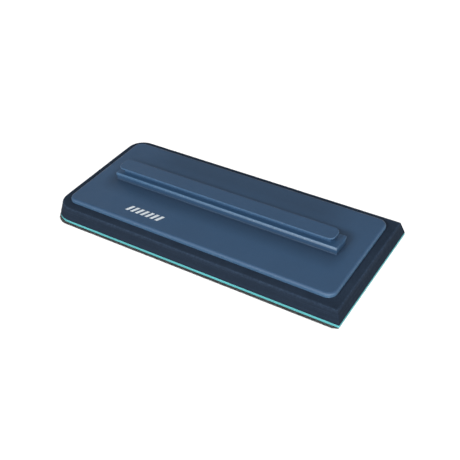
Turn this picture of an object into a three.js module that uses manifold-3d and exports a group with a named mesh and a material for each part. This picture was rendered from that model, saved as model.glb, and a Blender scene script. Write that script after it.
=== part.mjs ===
// Grout float: a rubber-faced foam pad, bonded under a coated metal backing plate that carries a
// low grooved rail, onto which a quick-change handle slides.
// Millimetres. +X runs along the float to its square-cornered toe, +Z is up, and the working face
// of the rubber lies on z = 0.
import * as THREE from 'three';
import { mergeVertices } from 'three/addons/utils/BufferGeometryUtils.js';
import Module from 'manifold-3d';

const wasm = await Module();
wasm.setup();

// Driving dimensions.
const LENGTH = 240; // the sole, along X
const WIDTH = 110; // the sole, along Y

const SOLE_THICKNESS = 1.9; // rubber sheet
const FILM_THICKNESS = 0.15; // each double-sided adhesive sheet
const FILM_INSET = 0.6; // from the edge of the face that a sheet bonds
const FOAM_THICKNESS = 9.55;
const FOAM_LEAN = 3; // how far the foam's faces slope inwards over their height
const FOAM_BREAK = 1; // rounding of the foam's upper edge
const HEEL_RADIUS = 16; // the two round corners, at -X
const TOE_RADIUS = 0.8; // the two nearly square corners, at +X

const PLATE_MARGIN = 9.5; // from the sole's edge to the plate's edge
const PLATE_THICKNESS = 3.4;
const PLATE_RADIUS = 7; // corners, in plan
const PLATE_EDGE = 2; // rounding of the plate's upper edge

const FLANGE_MARGIN = 19.7; // from the plate's ends to the ends of the rail's flange
const HEEL_STEP = 1.7; // how far the rail's lower body runs on past the flange, at -X
const TOE_STEP = 3.7; // the same at +X
const BASE_HEIGHT = 6.3; // the rail's lower body, from the plate to the groove
const BASE_HALF_WIDTH = 7; // to the flat side under the bead
const FOOT_FLARE = 0.5; // small fillet where the rail meets the plate
const BEAD_HEIGHT = 2.6; // rounded bead along the top of the lower body
const BEAD_BULGE = 0.9; // how far the bead stands out of the flat side
const GROOVE_HEIGHT = 3.65; // slot that takes the handle's lips
const GROOVE_DEPTH = 3; // from the flange's edge in to the neck
const FLANGE_THICKNESS = 1.3;
const FLANGE_WIDTH = 13.2;
const FLANGE_RADIUS = 4.5; // corners, in plan
const FLANGE_EDGE = 0.4; // rounding of the flange's upper edge

const SCREW_COUNT = 5;
const SCREW_DIAMETER = 4;
const SCREW_HEAD_DIAMETER = 7.6;
const SCREW_BITE = 5; // thread length inside the rail
const SCREW_END_DISTANCE = 14; // from the rail's end to the nearest screw
const SCREW_CLEARANCE = 0.1; // around each screw, and at its tip
const SOCKET_FLATS = 2.5; // hexagon socket, across flats
const SOCKET_DEPTH = 1.3;

// Smoothness of round features.
const CORNER_STEPS = 10;
const EDGE_STEPS = 4;
const SECTION_STEPS = 8;
const SCREW_SIDES = 24;

// Heights that follow from the stack.
const soleFilmZ = SOLE_THICKNESS;
const foamZ = soleFilmZ + FILM_THICKNESS;
const plateFilmZ = foamZ + FOAM_THICKNESS;
const plateZ = plateFilmZ + FILM_THICKNESS;
const railZ = plateZ + PLATE_THICKNESS;
const grooveZ = railZ + BASE_HEIGHT;
const flangeZ = grooveZ + GROOVE_HEIGHT;
const plateLength = LENGTH - 2 * PLATE_MARGIN;
const plateWidth = WIDTH - 2 * PLATE_MARGIN;
const flangeLength = plateLength - 2 * FLANGE_MARGIN;
const railHeelX = -flangeLength / 2 - HEEL_STEP;
const railToeX = flangeLength / 2 + TOE_STEP;
const railLength = railToeX - railHeelX;

const coating = { color: 0x3c5370, roughness: 0.38, metalness: 0.25 };
const foam = { color: 0x2b3646, roughness: 0.92, metalness: 0 };
const rubber = { color: 0x58c3c6, roughness: 0.6, metalness: 0 };
const film = { color: 0xcfd3d2, roughness: 0.5, metalness: 0 };
const steel = { color: 0xb4b7ba, roughness: 0.3, metalness: 1 };

// Plan outline of a rectangle, anticlockwise, with its own corner radius at each end.
function outline(length, width, heelRadius, toeRadius) {
  const corners = [
    { x: 1, y: -1, radius: toeRadius, start: -Math.PI / 2 },
    { x: 1, y: 1, radius: toeRadius, start: 0 },
    { x: -1, y: 1, radius: heelRadius, start: Math.PI / 2 },
    { x: -1, y: -1, radius: heelRadius, start: Math.PI },
  ];
  const points = [];
  for (const { x, y, radius, start } of corners) {
    const centreX = x * (length / 2 - radius);
    const centreY = y * (width / 2 - radius);
    for (let step = 0; step <= CORNER_STEPS; step += 1) {
      const angle = start + (Math.PI / 2) * (step / CORNER_STEPS);
      const px = centreX + radius * Math.cos(angle);
      const py = centreY + radius * Math.sin(angle);
      points.push(new THREE.Vector2(px, py));
    }
  }
  return points;
}

// Outline drawn in by an inset; its round corners shrink with it, as far as a toe corner.
function insetOutline(length, width, heelRadius, toeRadius, inset) {
  const heel = Math.max(heelRadius - inset, Math.min(heelRadius, TOE_RADIUS));
  const toe = Math.max(toeRadius - inset, Math.min(toeRadius, TOE_RADIUS));
  return outline(length - 2 * inset, width - 2 * inset, heel, toe);
}

// Closed solid through a stack of level outlines, each with the same number of points.
function loft(rings) {
  const count = rings[0].points.length;
  const positions = rings.flatMap(({ points, z }) => points.flatMap((p) => [p.x, p.y, z]));
  const faces = [];
  for (let ring = 0; ring + 1 < rings.length; ring += 1) {
    for (let i = 0; i < count; i += 1) {
      const low = ring * count;
      const high = low + count;
      const next = (i + 1) % count;
      faces.push(low + i, low + next, high + next);
      faces.push(low + i, high + next, high + i);
    }
  }
  const top = (rings.length - 1) * count;
  const cap = THREE.ShapeUtils.triangulateShape(rings[0].points, []);
  for (const [a, b, c] of cap) {
    faces.push(c, b, a);
    faces.push(top + a, top + b, top + c);
  }
  const geometry = new THREE.BufferGeometry();
  geometry.setAttribute('position', new THREE.Float32BufferAttribute(positions, 3));
  geometry.setIndex(faces);
  return geometry;
}

// Rings of an upper edge, rounded with a quarter circle that ends level at the top.
function roundedTop(ringAt, radius, inset, topZ) {
  const rings = [];
  for (let step = 0; step <= EDGE_STEPS; step += 1) {
    const angle = (Math.PI / 2) * (step / EDGE_STEPS);
    const edgeInset = inset + radius * (1 - Math.cos(angle));
    rings.push({ points: ringAt(edgeInset), z: topZ - radius * (1 - Math.sin(angle)) });
  }
  return rings;
}

// The sole's plan outline, drawn in by an inset.
function soleRing(inset) {
  return insetOutline(LENGTH, WIDTH, HEEL_RADIUS, TOE_RADIUS, inset);
}

// The plate's plan outline, drawn in by an inset.
function plateRing(inset) {
  return insetOutline(plateLength, plateWidth, PLATE_RADIUS, PLATE_RADIUS, inset);
}

// The flange's plan outline, drawn in by an inset.
function flangeRing(inset) {
  return insetOutline(flangeLength, FLANGE_WIDTH, FLANGE_RADIUS, FLANGE_RADIUS, inset);
}

// Straight-sided slab between two heights.
function slab(points, bottom, top) {
  return loft([{ points, z: bottom }, { points, z: top }]);
}

function toSolid(geometry) {
  const bare = geometry.clone();
  bare.deleteAttribute('normal');
  bare.deleteAttribute('uv');
  const merged = mergeVertices(bare, 1e-4);
  const vertProperties = new Float32Array(merged.attributes.position.array);
  const triVerts = new Uint32Array(merged.index.array);
  return new wasm.Manifold(new wasm.Mesh({ numProp: 3, vertProperties, triVerts }));
}

function fromSolid(solid) {
  const { vertProperties, triVerts } = solid.getMesh();
  const geometry = new THREE.BufferGeometry();
  geometry.setAttribute('position', new THREE.Float32BufferAttribute(vertProperties, 3));
  geometry.setIndex(Array.from(triVerts));
  return geometry;
}

// Rubber sheet that presses the grout into the joints.
function rubberSole() {
  return slab(soleRing(0), 0, SOLE_THICKNESS);
}

// Sheet of adhesive between the rubber and the foam.
function soleFilm() {
  return slab(soleRing(FILM_INSET), soleFilmZ, foamZ);
}

// Foam pad: four sloping faces under a rounded upper edge.
function foamPad() {
  const base = { points: soleRing(0), z: foamZ };
  const breakInset = FOAM_LEAN * (1 - FOAM_BREAK / FOAM_THICKNESS);
  return loft([base, ...roundedTop(soleRing, FOAM_BREAK, breakInset, plateFilmZ)]);
}

// Sheet of adhesive between the foam and the plate.
function plateFilm() {
  return slab(plateRing(FILM_INSET), plateFilmZ, plateZ);
}

// Places of the screws, evenly spaced along the rail.
function screwPlaces() {
  const span = railLength - 2 * SCREW_END_DISTANCE;
  const places = [];
  for (let i = 0; i < SCREW_COUNT; i += 1) {
    places.push(railHeelX + SCREW_END_DISTANCE + (span * i) / (SCREW_COUNT - 1));
  }
  return places;
}

// Countersunk screw, standing on its head, or with a gap the hole that takes it.
function screwBody(gap) {
  const shank = SCREW_DIAMETER / 2 + gap;
  const head = SCREW_HEAD_DIAMETER / 2 + gap;
  const rim = 0.3; // straight edge of the head
  const neck = rim + head - shank;
  const tip = PLATE_THICKNESS + SCREW_BITE + gap;
  const profile = [
    new THREE.Vector2(0, 0),
    new THREE.Vector2(head, 0),
    new THREE.Vector2(head, rim),
    new THREE.Vector2(shank, neck),
    new THREE.Vector2(shank, tip),
    new THREE.Vector2(0, tip),
  ];
  const lathe = new THREE.LatheGeometry(profile, SCREW_SIDES);
  lathe.rotateX(Math.PI / 2);
  return toSolid(lathe);
}

// Screw that holds the rail, driven up through the plate.
function railScrew() {
  const radius = SOCKET_FLATS / Math.sqrt(3);
  const socket = new THREE.CylinderGeometry(radius, radius, 2 * SOCKET_DEPTH, 6);
  socket.rotateX(Math.PI / 2);
  return fromSolid(screwBody(0).subtract(toSolid(socket)));
}

function withScrewHoles(solid) {
  const hole = screwBody(SCREW_CLEARANCE);
  return screwPlaces().reduce((cut, x) => cut.subtract(hole.translate([x, 0, plateZ])), solid);
}

// Backing plate with a rounded upper edge, countersunk from below.
function backingPlate() {
  const base = { points: plateRing(0), z: plateZ };
  const plate = loft([base, ...roundedTop(plateRing, PLATE_EDGE, 0, railZ)]);
  return fromSolid(withScrewHoles(toSolid(plate)));
}

// Cross-section of the rail's lower body: foot fillet, flat side, bead, flat top.
function baseSection() {
  const beadFoot = BASE_HEIGHT - BEAD_HEIGHT;
  const pull = BASE_HALF_WIDTH + BEAD_BULGE / 0.75; // a cubic curve reaches 3/4 of the way to it
  const bend = BEAD_HEIGHT / 5;
  const side = new THREE.Path();
  side.moveTo(BASE_HALF_WIDTH + FOOT_FLARE, 0);
  side.quadraticCurveTo(BASE_HALF_WIDTH, 0, BASE_HALF_WIDTH, FOOT_FLARE);
  side.lineTo(BASE_HALF_WIDTH, beadFoot);
  side.bezierCurveTo(pull, beadFoot + bend, pull, BASE_HEIGHT - bend, BASE_HALF_WIDTH, BASE_HEIGHT);
  const right = side.getPoints(SECTION_STEPS);
  const left = right.map(({ x, y }) => new THREE.Vector2(-x, y)).reverse();
  return new THREE.Shape([...right, ...left]);
}

// One-piece rail: lower body, recessed neck and flange.
function handleRail() {
  const body = new THREE.ExtrudeGeometry(baseSection(), { depth: railLength, bevelEnabled: false });
  body.rotateX(Math.PI / 2);
  body.rotateZ(Math.PI / 2);
  body.translate(railHeelX, 0, railZ);
  const neckPoints = flangeRing(GROOVE_DEPTH);
  const sink = Math.min(BASE_HEIGHT, FLANGE_THICKNESS) / 2; // how deep the neck runs into both
  const neck = slab(neckPoints, grooveZ - sink, flangeZ + sink);
  const flangeTop = flangeZ + FLANGE_THICKNESS;
  const base = { points: flangeRing(0), z: flangeZ };
  const flange = loft([base, ...roundedTop(flangeRing, FLANGE_EDGE, 0, flangeTop)]);
  const rail = toSolid(body).add(toSolid(neck)).add(toSolid(flange));
  return fromSolid(withScrewHoles(rail));
}

function piece(name, geometry, look) {
  const mesh = new THREE.Mesh(geometry, new THREE.MeshStandardMaterial(look));
  mesh.name = name;
  return mesh;
}

const float = new THREE.Group();
float.add(piece('rubber_sole', rubberSole(), rubber));
float.add(piece('sole_adhesive', soleFilm(), film));
float.add(piece('foam_pad', foamPad(), foam));
float.add(piece('plate_adhesive', plateFilm(), film));
float.add(piece('backing_plate', backingPlate(), coating));
float.add(piece('handle_rail', handleRail(), coating));
screwPlaces().forEach((x, index) => {
  const screw = piece(`rail_screw_${index + 1}`, railScrew(), steel);
  screw.position.set(x, 0, plateZ);
  float.add(screw);
});

export default float;
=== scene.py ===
"""Looks of the grout float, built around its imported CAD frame. Metres, +X towards the square toe, +Z up."""

import math

import bmesh
import bpy
from mathutils import Matrix, Vector, noise


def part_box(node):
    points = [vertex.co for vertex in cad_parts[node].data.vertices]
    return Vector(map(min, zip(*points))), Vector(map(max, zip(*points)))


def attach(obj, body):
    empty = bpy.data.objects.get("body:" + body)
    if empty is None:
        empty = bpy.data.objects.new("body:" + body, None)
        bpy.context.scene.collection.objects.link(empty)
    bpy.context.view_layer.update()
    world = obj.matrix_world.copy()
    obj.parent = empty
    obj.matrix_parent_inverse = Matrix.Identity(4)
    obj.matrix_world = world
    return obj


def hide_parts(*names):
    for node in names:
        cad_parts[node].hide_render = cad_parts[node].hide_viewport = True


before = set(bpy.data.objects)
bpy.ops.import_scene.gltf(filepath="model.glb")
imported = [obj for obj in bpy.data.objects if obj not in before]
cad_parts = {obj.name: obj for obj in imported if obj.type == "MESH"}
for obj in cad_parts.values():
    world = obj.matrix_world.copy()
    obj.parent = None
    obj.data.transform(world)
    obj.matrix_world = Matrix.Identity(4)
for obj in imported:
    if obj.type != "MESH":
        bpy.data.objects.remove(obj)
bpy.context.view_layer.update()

MM = 0.001

# Shape values that the CAD boxes don't give, the same as in the CAD source.
HEEL_RADIUS = 16 * MM  # the pad's round corners, at -X
TOE_RADIUS = 0.8 * MM  # its nearly square corners, at +X
FOAM_LEAN = 3 * MM
FOAM_BREAK = 1 * MM  # rounding of its upper edge
PLATE_RADIUS = 7 * MM
PLATE_EDGE = 2 * MM
BASE_HEIGHT = 6.3 * MM  # the rail's lower body, foot to groove
BASE_HALF_WIDTH = 7 * MM
FOOT_FLARE = 0.5 * MM
BEAD_HEIGHT = 2.6 * MM
BEAD_BULGE = 0.9 * MM
GROOVE_DEPTH = 3 * MM
FLANGE_THICKNESS = 1.3 * MM
FLANGE_WIDTH = 13.2 * MM
HEEL_STEP = 1.7 * MM  # from the rail's heel end to the flange's
TOE_STEP = 3.7 * MM  # and the same at the toe
FLANGE_RADIUS = 4.5 * MM
FLANGE_EDGE = 0.4 * MM
SHANK_RADIUS = 2 * MM
SCREW_CLEARANCE = 0.1 * MM

# From the foam's foot to the plate's edge, in plan.
PLATE_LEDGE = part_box("foam_pad")[1].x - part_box("backing_plate")[1].x

# Small roundings that only the looks need.
FOAM_LIP = 0.25 * MM  # the foam's lower edge
SOLE_EDGE = 0.3 * MM
BURR_EDGE = 0.2 * MM  # the lower edges of the plate and the flange
RAIL_CHAMFER = 0.25 * MM  # the ends of the rail's lower body

# The row of slanted bars on the plate.
MARK_START = -63 * MM  # its left end
MARK_MARGIN = 9.5 * MM  # from the plate's front edge
MARK_BARS = 7
MARK_PITCH = 4.4 * MM
MARK_HEIGHT = 6.2 * MM
MARK_LEAN = 0.45  # sideways for each unit of height
MARK_FILL = 0.55  # the inked share of the pitch

QUARTER = math.pi / 2


# ---------------------------------------------------------------- mesh helpers

def outline(low, high, inset, heel, toe, side_steps, corner_steps):
    """Plan points of a rectangle with round corners, anticlockwise and evenly spread on its sides."""
    heel = max(heel - inset, min(heel, TOE_RADIUS))
    toe = max(toe - inset, min(toe, TOE_RADIUS))
    x0, x1 = low.x + inset, high.x - inset
    y0, y1 = low.y + inset, high.y - inset
    corners = [
        (x1 - toe, y0 + toe, toe, -QUARTER),
        (x1 - toe, y1 - toe, toe, 0),
        (x0 + heel, y1 - heel, heel, QUARTER),
        (x0 + heel, y0 + heel, heel, 2 * QUARTER),
    ]
    arcs = []
    for cx, cy, radius, start in corners:
        angles = [start + QUARTER * i / corner_steps for i in range(corner_steps + 1)]
        arcs.append([Vector((cx + radius * math.cos(a), cy + radius * math.sin(a))) for a in angles])
    points = []
    for i, arc in enumerate(arcs):
        following = arcs[(i + 1) % len(arcs)][0]
        steps = side_steps[i % 2]
        points += arc
        points += [arc[-1].lerp(following, s / steps) for s in range(1, steps)]
    return points


def loft(name, rings, along="z"):
    """Closed mesh through rings of (plan points, height). Along x, the points are (y, z) pairs."""
    mesh = bmesh.new()
    rows = []
    for points, place in rings:
        if along == "z":
            rows.append([mesh.verts.new((p.x, p.y, place)) for p in points])
        else:
            rows.append([mesh.verts.new((place, p.x, p.y)) for p in points])
    for low, high in zip(rows, rows[1:]):
        for i in range(len(low)):
            k = (i + 1) % len(low)
            mesh.faces.new((low[i], low[k], high[k], high[i]))
    mesh.faces.new(list(reversed(rows[0])))
    mesh.faces.new(rows[-1])
    bmesh.ops.recalc_face_normals(mesh, faces=mesh.faces)
    return as_object(name, mesh)


def as_object(name, mesh):
    data = bpy.data.meshes.new(name)
    mesh.to_mesh(data)
    mesh.free()
    piece = bpy.data.objects.new(name, data)
    bpy.context.scene.collection.objects.link(piece)
    return piece


def smooth(piece):
    """Smooth shading that keeps real edges crisp and flat faces flat."""
    piece.data.shade_smooth()
    piece.data.set_sharp_from_angle(angle=math.radians(32))
    weighted = piece.modifiers.new("flat_faces", "WEIGHTED_NORMAL")
    weighted.keep_sharp = True
    weighted.weight = 100  # large faces decide the normals


def rounded_edge(radius, inset, z, steps, side=1):
    """(inset, z) pairs of a quarter round that ends level at height z; side -1 turns it upside down."""
    pairs = []
    for i in range(steps + 1):
        angle = QUARTER * i / steps
        pairs.append((inset + radius * (1 - math.cos(angle)), z - side * radius * (1 - math.sin(angle))))
    return pairs


def combine(piece, others, operation):
    """Boolean of piece with each of the others, which are used up."""
    for other in others:
        step = piece.modifiers.new("combine", "BOOLEAN")
        step.operation = operation
        step.solver = "EXACT"
        step.object = other
        graph = bpy.context.evaluated_depsgraph_get()
        made = bpy.data.meshes.new_from_object(piece.evaluated_get(graph))
        piece.modifiers.clear()
        piece.data = made
        bpy.data.objects.remove(other)


# ---------------------------------------------------------------- material helpers

MIX_A, MIX_B, MIX_RESULT = 6, 7, 2  # the colour sockets of a Mix node
MAP_RANGE = ("From Min", "From Max", "To Min", "To Max")


class Paint:
    """A procedural material on one Principled shader, with short calls for the nodes that feed it."""

    def __init__(self, name, **constants):
        self.material = bpy.data.materials.new(name)
        self.material.use_nodes = True
        self.nodes = self.material.node_tree.nodes
        self.links = self.material.node_tree.links
        self.shader = self.nodes["Principled BSDF"]
        for socket, value in constants.items():
            self.shader.inputs[socket.replace("_", " ")].default_value = value
        self.place = self.nodes.new("ShaderNodeTexCoord").outputs["Object"]

    def axes(self, vector):
        node = self.nodes.new("ShaderNodeSeparateXYZ")
        self.links.new(vector, node.inputs["Vector"])
        return node.outputs

    def stretched(self, scale):
        node = self.nodes.new("ShaderNodeMapping")
        node.inputs["Scale"].default_value = scale
        self.links.new(self.place, node.inputs["Vector"])
        return node.outputs["Vector"]

    def noise(self, scale, detail=3, roughness=0.5, vector=None):
        node = self.nodes.new("ShaderNodeTexNoise")
        node.inputs["Scale"].default_value = scale
        node.inputs["Detail"].default_value = detail
        node.inputs["Roughness"].default_value = roughness
        self.links.new(vector or self.place, node.inputs["Vector"])
        return node.outputs["Fac"]

    def cells(self, scale):
        node = self.nodes.new("ShaderNodeTexVoronoi")
        node.inputs["Scale"].default_value = scale
        self.links.new(self.place, node.inputs["Vector"])
        return node.outputs["Distance"]

    def attribute(self, name):
        node = self.nodes.new("ShaderNodeAttribute")
        node.attribute_name = name
        return node.outputs["Fac"]

    def spread(self, value, low, high, to_low=0.0, to_high=1.0):
        node = self.nodes.new("ShaderNodeMapRange")
        for socket, number in zip(MAP_RANGE, (low, high, to_low, to_high)):
            node.inputs[socket].default_value = number
        self.links.new(value, node.inputs["Value"])
        return node.outputs["Result"]

    def math(self, operation, a, b=0.0):
        node = self.nodes.new("ShaderNodeMath")
        node.operation = operation
        for socket, value in zip(node.inputs, (a, b)):
            self.feed(value, socket)
        return node.outputs["Value"]

    def feed(self, value, socket):
        if isinstance(value, bpy.types.NodeSocket):
            self.links.new(value, socket)
        elif isinstance(value, tuple) and len(value) == 3:
            socket.default_value = (*value, 1)
        else:
            socket.default_value = value

    def mix(self, factor, a, b):
        node = self.nodes.new("ShaderNodeMix")
        node.data_type = "RGBA"
        self.feed(factor, node.inputs["Factor"])
        self.feed(a, node.inputs[MIX_A])
        self.feed(b, node.inputs[MIX_B])
        return node.outputs[MIX_RESULT]

    def bump(self, height, depth, strength, under=None):
        node = self.nodes.new("ShaderNodeBump")
        node.inputs["Strength"].default_value = strength
        node.inputs["Distance"].default_value = depth
        self.links.new(height, node.inputs["Height"])
        if under:
            self.links.new(under, node.inputs["Normal"])
        return node.outputs["Normal"]

    def set(self, **feeds):
        for socket, value in feeds.items():
            self.links.new(value, self.shader.inputs[socket.replace("_", " ")])


def shade(colour, factor):
    return tuple(channel * factor for channel in colour)


# ---------------------------------------------------------------- materials

BLUE = (0.0235, 0.0645, 0.133)
EDGE_COAT_AND_HIGHLIGHT = (0.050, 0.115, 0.205)  # paler coat over edges: where the coat thins out, and a painted highlight
BARE_METAL_AND_HIGHLIGHT = (0.42, 0.46, 0.50)
INK = (0.62, 0.68, 0.72)
NAVY_FOAM = (0.0122, 0.0205, 0.0355)
FOAM_PALE = (0.020, 0.033, 0.056)
TEAL = (0.092, 0.375, 0.40)

# Pairs that a surface wanders between.
GLUE = ((0.46, 0.48, 0.46), (0.60, 0.62, 0.60))
ZINC = ((0.46, 0.47, 0.49), (0.55, 0.53, 0.46))
FLOOR = ((0.93, 0.93, 0.93), (0.95, 0.95, 0.95))


def coated_metal(name, drawn=False, mark=None):
    """Satin blue coat with faint orange peel, painted shade by the rail's foot, edges paled by thin-coat wear
    and a painted highlight, and a painted highlight on the rail's bead.

    drawn adds a rail's long lines, and mark gives the first bar's left end and foot.
    """
    paint = Paint(name, IOR=1.5, Coat_Weight=0.06, Coat_Roughness=0.35)
    cloud = paint.spread(paint.noise(28, 3), 0.3, 0.7)
    colour = paint.mix(cloud, shade(BLUE, 0.95), shade(BLUE, 1.05))
    speck = paint.spread(paint.noise(2400, 2), 0.45, 0.62, 0.0, 0.3)
    colour = paint.mix(speck, colour, shade(BLUE, 1.25))
    # painted shade along the rail's foot and a painted shadow on the plate behind the rail
    rail_shade = painted_rail_shade_mask(paint)
    colour = paint.mix(rail_shade, colour, shade(BLUE, 0.58))
    # edges paled by thin-coat wear and by a painted highlight
    edge = paint.attribute("edge")
    colour = paint.mix(edge, colour, EDGE_COAT_AND_HIGHLIGHT)
    # painted highlight on the rail's bead: edge values above 1 turn it towards bare metal
    painted_highlight = paint.spread(edge, 1, 2, 0.0, 0.21)
    colour = paint.mix(painted_highlight, colour, BARE_METAL_AND_HIGHLIGHT)
    if mark:
        colour = paint.mix(printed_bars(paint, *mark), colour, INK)
    scuff = paint.spread(paint.noise(520, 4, 0.65), 0.56, 0.70)
    wear_and_highlight = paint.math("MULTIPLY", paint.math("MULTIPLY", edge, scuff), 0.18)
    colour = paint.mix(wear_and_highlight, colour, BARE_METAL_AND_HIGHLIGHT)
    least = 0.46 if drawn else 0.52
    rough = paint.spread(paint.noise(60, 5, 0.6), 0.35, 0.7, least, least + 0.08)
    rough = paint.math("ADD", rough, paint.math("MULTIPLY", rail_shade, 0.15))
    peel = paint.bump(paint.noise(900, 2), 0.02 * MM, 0.4)
    if drawn:
        lines = paint.noise(1, 3, 0.6, paint.stretched((6, 3000, 3000)))
        peel = paint.bump(lines, 0.02 * MM, 0.4, peel)
    paint.set(Base_Color=colour, Roughness=rough, Normal=peel)
    return paint.material


def painted_rail_shade_mask(paint):
    """Mask of painted shade along the rail's foot and, half as strong, of a painted shadow on the plate
    behind the rail.

    It fades out past the rail's ends and up the rail's sides.
    """
    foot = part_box("handle_rail")[0].z
    place = paint.axes(paint.place)
    x, y = paint.math("ABSOLUTE", place["X"]), place["Y"]
    beside = paint.spread(paint.math("ABSOLUTE", y), BASE_HALF_WIDTH, 24 * MM, 1.0, 0.0)
    beside = paint.math("MULTIPLY", beside, paint.spread(x, 93 * MM, 102 * MM, 1.0, 0.0))
    behind = paint.spread(y, 20 * MM, 31 * MM, 0.0, 0.5)
    behind = paint.math("MULTIPLY", behind, paint.spread(x, 65 * MM, 92 * MM, 1.0, 0.0))
    up = paint.spread(place["Z"], foot, foot + 3.7 * MM, 1.0, 0.0)
    return paint.math("MULTIPLY", paint.math("MAXIMUM", beside, behind), up)


def between(paint, value, low, high):
    """Mask that is 1 where value lies between low and high."""
    above = paint.math("GREATER_THAN", value, low)
    return paint.math("MULTIPLY", above, paint.math("LESS_THAN", value, high))


def printed_bars(paint, start, foot):
    """Mask of the plain slanted bars, from the first bar's left end and foot in the plate's plane."""
    place = paint.axes(paint.place)
    lean = paint.math("MULTIPLY", paint.math("SUBTRACT", place["Y"], foot), MARK_LEAN)
    along = paint.math("SUBTRACT", paint.math("SUBTRACT", place["X"], start), lean)
    bars = paint.math("DIVIDE", along, MARK_PITCH)
    inked = paint.math("LESS_THAN", paint.math("FRACT", bars), MARK_FILL)
    inside = between(paint, bars, 0.0, MARK_BARS)
    tall = between(paint, place["Y"], foot, foot + MARK_HEIGHT)
    return paint.math("MULTIPLY", paint.math("MULTIPLY", inked, inside), tall)


def foam_material():
    """Dark closed-cell foam: fine cells, faint cutting streaks, and paler colour on upward-facing faces."""
    paint = Paint("pad_foam", Specular_IOR_Level=0.08)
    facing = paint.nodes.new("ShaderNodeNewGeometry").outputs["True Normal"]
    # paler on upward-facing faces
    top = paint.spread(paint.axes(facing)["Z"], 0.5, 0.95)
    base = paint.mix(top, NAVY_FOAM, FOAM_PALE)
    mottle = paint.spread(paint.noise(90, 4, 0.6), 0.3, 0.7, 0.0, 0.35)
    colour = paint.mix(mottle, base, shade(NAVY_FOAM, 0.75))
    cell = paint.spread(paint.cells(1500), 0.1, 0.7, 0.35, 0.0)
    colour = paint.mix(cell, colour, shade(NAVY_FOAM, 0.4))
    cuts = paint.noise(1, 4, 0.6, paint.stretched((14, 14, 1400)))
    colour = paint.mix(paint.spread(cuts, 0.5, 0.75, 0.0, 0.3), colour, shade(FOAM_PALE, 1.5))
    # paler patches along the crest of the foam's break edge
    patches = paint.spread(paint.noise(700, 4), 0.4, 0.7, 0.1, 0.5)
    crest_pale = paint.math("MULTIPLY", paint.attribute("edge"), patches)
    colour = paint.mix(crest_pale, colour, shade(FOAM_PALE, 2.2))
    rough = paint.spread(paint.noise(300, 3), 0.3, 0.7, 0.8, 0.95)
    cells = paint.bump(paint.cells(1500), 0.1 * MM, 0.6)
    skin = paint.bump(paint.noise(350, 4, 0.6), 0.1 * MM, 0.4, cells)
    paint.set(Base_Color=colour, Roughness=rough, Normal=skin)
    return paint.material


def rubber_material():
    """Teal sheet rubber: matt moulded grain, faint flow streaks and paler rubbing marks along X."""
    paint = Paint("sole_rubber", Specular_IOR_Level=0.2)
    flow = paint.noise(1, 4, 0.6, paint.stretched((18, 70, 70)))
    colour = paint.mix(paint.spread(flow, 0.3, 0.7), shade(TEAL, 0.92), shade(TEAL, 1.06))
    rub = paint.noise(1, 5, 0.7, paint.stretched((25, 900, 900)))
    colour = paint.mix(paint.spread(rub, 0.55, 0.8, 0.0, 0.3), colour, shade(TEAL, 1.35))
    rough = paint.spread(paint.noise(240, 4), 0.3, 0.7, 0.50, 0.66)
    grain = paint.bump(paint.noise(1600, 3), 0.05 * MM, 0.5)
    grain = paint.bump(rub, 0.03 * MM, 0.4, grain)
    paint.set(Base_Color=colour, Roughness=rough, Normal=grain)
    return paint.material


def adhesive_material():
    """Pale adhesive sheet with a crazed, faintly cloudy body."""
    paint = Paint("adhesive")
    colour = paint.mix(paint.spread(paint.noise(200, 4), 0.3, 0.7), *GLUE)
    rough = paint.spread(paint.noise(500, 3), 0.3, 0.7, 0.35, 0.55)
    crazing = paint.bump(paint.noise(800, 3), 0.03 * MM, 0.4)
    paint.set(Base_Color=colour, Roughness=rough, Normal=crazing)
    return paint.material


def screw_material():
    """Zinc-plated steel with fine turning marks and a faint yellow bloom."""
    paint = Paint("screw_steel", Metallic=1.0)
    colour = paint.mix(paint.spread(paint.noise(500, 3), 0.35, 0.65), *ZINC)
    rough = paint.spread(paint.noise(1500, 3), 0.3, 0.7, 0.25, 0.42)
    turned = paint.noise(1, 3, 0.6, paint.stretched((300, 300, 6000)))
    paint.set(Base_Color=colour, Roughness=rough, Normal=paint.bump(turned, 0.02 * MM, 0.5))
    return paint.material


def floor_material():
    """Pale studio floor, very slightly uneven."""
    paint = Paint("floor", Specular_IOR_Level=0.1)
    colour = paint.mix(paint.spread(paint.noise(6, 3), 0.3, 0.7), *FLOOR)
    rough = paint.spread(paint.noise(40, 3), 0.3, 0.7, 0.8, 0.9)
    paint.set(Base_Color=colour, Roughness=rough)
    return paint.material


def inset_at(place, low, high, radius):
    """How far a point lies inside a round-cornered rectangle's edge, in plan."""
    along = abs(place.x - (low.x + high.x) / 2) - (high.x - low.x) / 2 + radius
    across = abs(place.y - (low.y + high.y) / 2) - (high.y - low.y) / 2 + radius
    return radius - math.hypot(max(along, 0), max(across, 0)) - min(max(along, across), 0)


def write_edge_mask(piece, mask):
    """Writes the edge attribute that pales edges, as wear and as painted highlight: 0 away from one, 1 on it,
    2 where the painted highlight is brightest.
    """
    values = piece.data.attributes.new("edge", "FLOAT", "POINT")
    for vertex in piece.data.vertices:
        values.data[vertex.index].value = max(0.0, min(2.0, mask(vertex.co)))


def finish_piece(piece, material, node):
    piece.data.materials.clear()
    piece.data.materials.append(material)
    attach(piece, "root")
    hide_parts(node)


# ---------------------------------------------------------------- pieces

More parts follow.
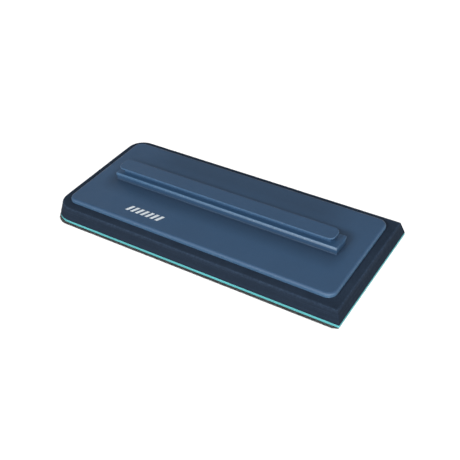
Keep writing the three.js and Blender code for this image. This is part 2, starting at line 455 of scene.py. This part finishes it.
def foam_pad():
    """Foam block: sloping faces, rounded break edge and the slight waviness of a hand-cut sheet."""
    low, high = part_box("foam_pad")
    break_inset = FOAM_LEAN * (1 - FOAM_BREAK / (high.z - low.z))
    levels = [(FOAM_LIP, low.z), (0.3 * FOAM_LIP, low.z + 0.3 * FOAM_LIP)]
    side_levels = 14
    for i in range(1, side_levels + 1):
        share = i / (side_levels + 1)
        levels.append((break_inset * share, low.z + (high.z - FOAM_BREAK - low.z) * share))
    levels += rounded_edge(FOAM_BREAK, break_inset, high.z, 6)
    ledge_steps = 10
    ledge = PLATE_LEDGE + 1.5 * MM  # ends out of sight under the plate
    edge_inset = levels[-1][0]
    for i in range(1, ledge_steps + 1):
        levels.append((edge_inset + (ledge - edge_inset) * i / ledge_steps, high.z))
    rings = [(outline(low, high, inset, HEEL_RADIUS, TOE_RADIUS, (72, 150), 14), z) for inset, z in levels]
    pad = loft("foam_body", rings)
    apart = Vector((5, 5, 5))  # keeps the sag's noise apart from the waves'
    for vertex in pad.data.vertices:
        place = vertex.co
        inward = Vector((-place.x / high.x, -place.y / high.y, 0))
        wave = noise.noise(place * 60) * 0.12 + noise.noise(place * 350) * 0.05
        if place.z > low.z + FOAM_LIP:
            vertex.co += inward * abs(wave) * MM
            vertex.co.z -= abs(noise.noise(place * 90 + apart)) * 0.08 * MM
    crest = FOAM_LEAN + 0.2 * FOAM_BREAK

    def crest_band(co):
        corner = TOE_RADIUS if co.x > 0 else HEEL_RADIUS
        return 1 - abs(inset_at(co, low, high, corner) - crest) / FOAM_BREAK

    write_edge_mask(pad, crest_band)
    smooth(pad)
    finish_piece(pad, foam_material(), "foam_pad")


def rubber_sole():
    """Rubber sheet with a small round on both edges, flat underneath."""
    low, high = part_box("rubber_sole")
    levels = [(2 * SOLE_EDGE, low.z)]
    levels += reversed(rounded_edge(SOLE_EDGE, 0, low.z, 4, -1))
    levels += rounded_edge(SOLE_EDGE, 0, high.z, 4)
    levels.append((2 * SOLE_EDGE, high.z))
    rings = [(outline(low, high, inset, HEEL_RADIUS, TOE_RADIUS, (36, 80), 14), z) for inset, z in levels]
    sole = loft("sole_sheet", rings)
    smooth(sole)
    sole.visible_diffuse = False  # keeps its colour off the floor
    finish_piece(sole, rubber_material(), "rubber_sole")


def backing_plate():
    """Coated plate with a rounded upper edge, countersunk from below for the rail's screws."""
    low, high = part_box("backing_plate")
    levels = list(reversed(rounded_edge(BURR_EDGE, 0, low.z, 3, -1)))
    levels += rounded_edge(PLATE_EDGE, 0, high.z, 12)
    levels.append((PLATE_EDGE + 0.5 * MM, high.z))
    rings = [(outline(low, high, inset, PLATE_RADIUS, PLATE_RADIUS, (12, 24), 16), z) for inset, z in levels]
    plate = loft("plate_body", rings)
    combine(plate, screw_cutters(), "DIFFERENCE")

    def wear_and_highlight(co):
        toe = max(0, min(1, (co.x - high.x + 15 * MM) / (10 * MM)))  # stronger towards the toe end: edge wear there, and a painted highlight brighter towards the toe
        return (0.5 + 0.5 * toe) * (1 - inset_at(co, low, high, PLATE_RADIUS) / (0.35 * PLATE_EDGE))

    write_edge_mask(plate, wear_and_highlight)
    smooth(plate)
    coat = coated_metal("blue_coat_plate", mark=(MARK_START, low.y + MARK_MARGIN))
    finish_piece(plate, coat, "backing_plate")


def screw_nodes():
    return sorted(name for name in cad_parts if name.startswith("rail_screw"))


def circle(centre, radius, steps=32):
    turn = [2 * math.pi * i / steps for i in range(steps)]
    return [Vector((centre.x + radius * math.cos(a), centre.y + radius * math.sin(a))) for a in turn]


def screw_cutters():
    """A countersunk hole for each screw, a clearance wider than the screw in the frame."""
    cutters = []
    for name in screw_nodes():
        low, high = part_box(name)
        head = (high.x - low.x) / 2 + SCREW_CLEARANCE
        shank = SHANK_RADIUS + SCREW_CLEARANCE
        rim = low.z + 0.3 * MM
        profile = [
            (head, low.z - 0.5 * MM),
            (head, rim),
            (shank, rim + head - shank),
            (shank, high.z + SCREW_CLEARANCE),
        ]
        centre = (low + high) / 2
        cutters.append(loft("cutter", [(circle(centre, radius), z) for radius, z in profile]))
    return cutters


def rail_section(base_z):
    """The rail's lower body as (y, z) points: from foot to groove floor at +Y, then its mirror."""
    bead_foot = base_z + BASE_HEIGHT - BEAD_HEIGHT
    half = []
    flare_steps = 6
    for i in range(flare_steps + 1):
        angle = QUARTER * i / flare_steps
        y = BASE_HALF_WIDTH + FOOT_FLARE * (1 - math.sin(angle))
        half.append((y, base_z + FOOT_FLARE * (1 - math.cos(angle))))
    bead_steps = 16
    for i in range(bead_steps + 1):
        angle = math.pi * i / bead_steps
        bulge = BEAD_BULGE * math.sin(angle) ** 0.7  # fuller than a half round
        half.append((BASE_HALF_WIDTH + bulge, bead_foot + BEAD_HEIGHT * (1 - math.cos(angle)) / 2))
    back = [Vector(p) for p in half]
    front = [Vector((-p.x, p.y)) for p in reversed(back)]
    return back + front


def handle_rail():
    """Rail: lower body with its beads, recessed neck and round-cornered flange, joined as one piece."""
    low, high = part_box("handle_rail")
    section = rail_section(low.z)
    middle = low.z + BASE_HEIGHT / 2

    def shrunk(by):
        return [Vector((p.x - math.copysign(by, p.x), p.y - math.copysign(by, p.y - middle)))
                for p in section]

    ends = [(RAIL_CHAMFER, 0), (RAIL_CHAMFER * 0.3, RAIL_CHAMFER * 0.3), (0, RAIL_CHAMFER)]
    rings = [(shrunk(by), low.x + along) for by, along in ends]
    rings += [(shrunk(by), high.x - along) for by, along in reversed(ends)]
    body = loft("rail_body", rings, along="x")
    flange_low = Vector((low.x + HEEL_STEP, -FLANGE_WIDTH / 2, 0))
    flange_high = Vector((high.x - TOE_STEP, FLANGE_WIDTH / 2, 0))

    def flange_ring(inset):
        return outline(flange_low, flange_high, inset, FLANGE_RADIUS, FLANGE_RADIUS, (3, 24), 14)

    flange_z = high.z - FLANGE_THICKNESS
    levels = list(reversed(rounded_edge(BURR_EDGE, 0, flange_z, 3, -1)))
    levels += rounded_edge(FLANGE_EDGE, 0, high.z, 6)
    levels.append((FLANGE_EDGE + 0.4 * MM, high.z))
    flange = loft("flange", [(flange_ring(inset), z) for inset, z in levels])
    sink = 0.6 * MM  # the neck runs this far into the parts that it joins
    neck_ends = (low.z + BASE_HEIGHT - sink, flange_z + sink)
    neck = loft("neck", [(flange_ring(GROOVE_DEPTH), z) for z in neck_ends])
    combine(body, [neck, flange], "UNION")
    combine(body, screw_cutters(), "DIFFERENCE")

    def wear_and_highlight(co):
        if co.z > flange_z:
            # flange edge paled by thin-coat wear and a painted highlight
            return 0.6 * (1 - inset_at(co, flange_low, flange_high, FLANGE_RADIUS) / FLANGE_EDGE)
        if co.z <= low.z + 2 * MM:
            return 0
        highlight_gradient = 1 + (co.x + 75 * MM) / (135 * MM)  # painted highlight on the bead, brighter towards the toe end
        return highlight_gradient * (abs(co.y) - BASE_HALF_WIDTH) / BEAD_BULGE

    write_edge_mask(body, wear_and_highlight)
    smooth(body)
    finish_piece(body, coated_metal("blue_coat_rail", drawn=True), "handle_rail")


def hidden_pieces():
    """The adhesive sheets and screws keep their CAD shapes and get their finishes."""
    finishes = {"adhesive": adhesive_material(), "screw": screw_material()}
    for name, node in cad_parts.items():
        for word, material in finishes.items():
            if word in name:
                node.data.materials.clear()
                node.data.materials.append(material)
                node.data.shade_smooth()
                node.data.set_sharp_from_angle(angle=math.radians(30))


# ---------------------------------------------------------------- stage, light and camera

FLOOR_REACH = 3.0
FLOOR_LEVELS = (-20 * MM, -0.02 * MM)  # its top is a hair below the sole


def stage_floor():
    corners = [Vector((x, y)) * FLOOR_REACH for x, y in ((-1, -1), (1, -1), (1, 1), (-1, 1))]
    floor = loft("floor", [(corners, z) for z in FLOOR_LEVELS])
    floor.data.materials.append(floor_material())
    return floor


def lit_by(lamp, name, things):
    """Gives a lamp the only things that it lights."""
    group = bpy.data.collections.new(name)
    for thing in things:
        group.objects.link(thing)
    lamp.light_linking.receiver_collection = group


def towards(azimuth, elevation):
    """Direction from the float: azimuth 0 is the front, 90 the toe end, and elevation 90 straight up."""
    turn, rise = math.radians(azimuth), math.radians(elevation)
    return Vector((math.sin(turn) * math.cos(rise), -math.cos(turn) * math.cos(rise), math.sin(rise)))


def aimed(name, kind, azimuth, elevation, distance, power):
    """Lamp aimed at the middle of the float."""
    place = towards(azimuth, elevation) * distance
    data = bpy.data.lights.new(name, kind)
    data.energy = power
    lamp = bpy.data.objects.new(name, data)
    lamp.location = place
    lamp.rotation_euler = (-place).to_track_quat("-Z", "Y").to_euler()
    bpy.context.scene.collection.objects.link(lamp)
    return lamp


SOFTBOX_DISTANCE = 2.2
SOFTBOXES = (  # name, azimuth, elevation, size in metres, power in watts
    ("key", 36, 26, 1.8, 58),
    ("front", -16, 37, 0.4, 23),
    ("side", 120, 35, 0.8, 6),
    ("back", 200, 32, 0.8, 1.0),
    ("sheen", 232, 34, 0.8, 2.0),
    ("top", 180, 75, 0.8, 5),
)


def softbox(name, azimuth, elevation, size, power):
    lamp = aimed(name, "AREA", azimuth, elevation, SOFTBOX_DISTANCE, power)
    lamp.data.shape = "SQUARE"
    lamp.data.size = size
    return lamp


def studio(floor):
    """A pale horizon under a dim ceiling, softboxes on the float, and one sun that whitens the floor."""
    world = bpy.data.worlds.new("studio")
    bpy.context.scene.world = world
    world.use_nodes = True
    nodes, links = world.node_tree.nodes, world.node_tree.links
    split = nodes.new("ShaderNodeSeparateXYZ")
    links.new(nodes.new("ShaderNodeTexCoord").outputs["Generated"], split.inputs["Vector"])
    ceiling = nodes.new("ShaderNodeMapRange")
    ceiling.interpolation_type = "SMOOTHSTEP"
    for socket, number in zip(MAP_RANGE, (0.05, 0.3, 0.95, 0.05)):
        ceiling.inputs[socket].default_value = number
    links.new(split.outputs["Z"], ceiling.inputs["Value"])
    background = nodes["Background"]
    background.inputs["Color"].default_value = (1, 1, 1, 1)
    links.new(ceiling.outputs["Result"], background.inputs["Strength"])
    pieces = [thing for thing in bpy.context.scene.objects if thing.type == "MESH" and thing is not floor]
    for values in SOFTBOXES:
        lamp = softbox(*values)
        lit_by(lamp, lamp.name + "_float", pieces)
    sweep = aimed("sweep", "SUN", 172, 65, 3, 4.0)
    sweep.data.angle = math.radians(4)  # softens the float's shadow
    lit_by(sweep, "sweep_floor", [floor])


AZIMUTH = 33.0
ELEVATION = 38.15
ROLL = -2.24
DISTANCE = 586.2 * MM
AIM = Vector((7.09, -3.33, 0.29)) * MM
LENS = 62.29  # on the default 36 mm sensor


def camera():
    back = towards(AZIMUTH, ELEVATION)
    turn = math.radians(AZIMUTH)
    right = Vector((math.cos(turn), math.sin(turn), 0))
    up = back.cross(right)
    level = Matrix((right, up, back)).transposed()
    data = bpy.data.cameras.new("camera")
    data.lens = LENS
    data.clip_start = 0.01
    view = bpy.data.objects.new("camera", data)
    view.matrix_world = (level @ Matrix.Rotation(math.radians(ROLL), 3, "Z")).to_4x4()
    view.location = AIM + back * DISTANCE
    bpy.context.scene.collection.objects.link(view)
    bpy.context.scene.camera = view


camera()
foam_pad()
rubber_sole()
backing_plate()
handle_rail()
hidden_pieces()
studio(stage_floor())

bpy.context.scene.view_settings.view_transform = "Standard"
